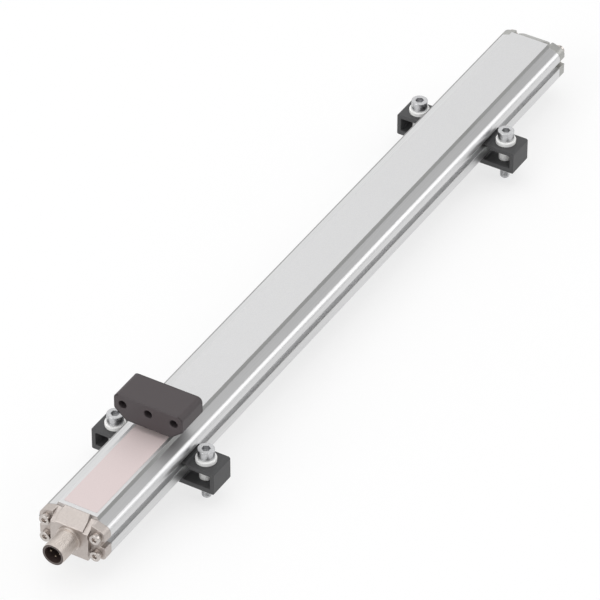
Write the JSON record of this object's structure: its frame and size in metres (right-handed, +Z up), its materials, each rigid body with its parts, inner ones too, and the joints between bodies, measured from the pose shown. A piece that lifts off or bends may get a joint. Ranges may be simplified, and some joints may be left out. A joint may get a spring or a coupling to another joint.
{
  "type": "magnetostrictive linear position sensor",
  "caption": "Flat linear position sensor in an extruded housing with round plug connector, floating magnet block and side clamps, for measuring machine travel.",
  "frame": {"origin": "centre of the four clamp screws, on the mounting plane under the clamps", "axes": "+X along the measuring axis from the connector end, +Y to the left, +Z up out of the mounting plane"},
  "size_m": [0.4731, 0.0694, 0.0531],
  "materials": {
    "housing_aluminium": "extruded, matt clear anodised",
    "cap_zinc": "die cast, satin nickel tone",
    "screw_steel": "bright zinc plated",
    "connector_nickel": "nickel plated, turned",
    "insert_black": "moulded",
    "pin_gold": "gold plated",
    "seal_rubber": "moulded",
    "lead_insulation": "extruded",
    "board_laminate": "solder mask",
    "chip_epoxy": "moulded",
    "capacitor_can": "drawn",
    "carrier_plastic": "extruded",
    "bar_ferrite": "sintered",
    "coil_copper": "enamelled wire",
    "waveguide_alloy": "drawn",
    "tube_fluoropolymer": "extruded",
    "magnet_black": "moulded, fine grain",
    "potting_resin": "cast",
    "clamp_black": "extruded, black anodised",
    "bush_white": "moulded"
  },
  "bodies": {
    "sensor": {"housing_profile": "housing_aluminium", "front_end_cap": "cap_zinc", "rear_end_cap": "cap_zinc", "front_gasket": "seal_rubber", "rear_gasket": "seal_rubber", "front_cap_screws": "screw_steel", "rear_cap_screws": "screw_steel", "connector_shell": "connector_nickel", "connector_insert": "insert_black", "connector_pins": "pin_gold", "connector_nut": "connector_nickel", "connector_seal": "seal_rubber", "connector_leads": "lead_insulation", "circuit_board": "board_laminate", "board_chips": "chip_epoxy", "board_capacitors": "capacitor_can", "pulse_transformer": "chip_epoxy", "wire_anchor": "carrier_plastic", "anchor_screw": "screw_steel", "pickup_holder": "carrier_plastic", "bias_magnet": "bar_ferrite", "coil_bobbin": "carrier_plastic", "pickup_coil": "coil_copper", "coil_pins": "pin_gold", "waveguide_wire": "waveguide_alloy", "guide_tube": "tube_fluoropolymer", "return_wire": "coil_copper", "waveguide_carrier": "carrier_plastic", "damping_plug": "seal_rubber", "end_bridge": "pin_gold"},
    "magnet": {"magnet_housing": "magnet_black", "bar_magnets": "bar_ferrite", "magnet_potting": "potting_resin"},
    "clamp_front_left": {"clamp_front_left": "clamp_black", "bush_front_left": "bush_white", "clamp_screw_front_left": "screw_steel"},
    "clamp_front_right": {"clamp_front_right": "clamp_black", "bush_front_right": "bush_white", "clamp_screw_front_right": "screw_steel"},
    "clamp_rear_left": {"clamp_rear_left": "clamp_black", "bush_rear_left": "bush_white", "clamp_screw_rear_left": "screw_steel"},
    "clamp_rear_right": {"clamp_rear_right": "clamp_black", "bush_rear_right": "bush_white", "clamp_screw_rear_right": "screw_steel"}
  },
  "joints": [
    {"name": "magnet_travel", "type": "slide", "parent": "sensor", "child": "magnet", "axis": [1, 0, 0], "range_m": [0, 0.3]},
    {"name": "clamp_front_left_shift", "type": "slide", "parent": "sensor", "child": "clamp_front_left", "axis": [1, 0, 0], "range_m": [-0.06, 0.06]},
    {"name": "clamp_front_right_shift", "type": "slide", "parent": "sensor", "child": "clamp_front_right", "axis": [1, 0, 0], "range_m": [-0.06, 0.06]},
    {"name": "clamp_rear_left_shift", "type": "slide", "parent": "sensor", "child": "clamp_rear_left", "axis": [1, 0, 0], "range_m": [-0.06, 0.06]},
    {"name": "clamp_rear_right_shift", "type": "slide", "parent": "sensor", "child": "clamp_rear_right", "axis": [1, 0, 0], "range_m": [-0.06, 0.06]}
  ]
}
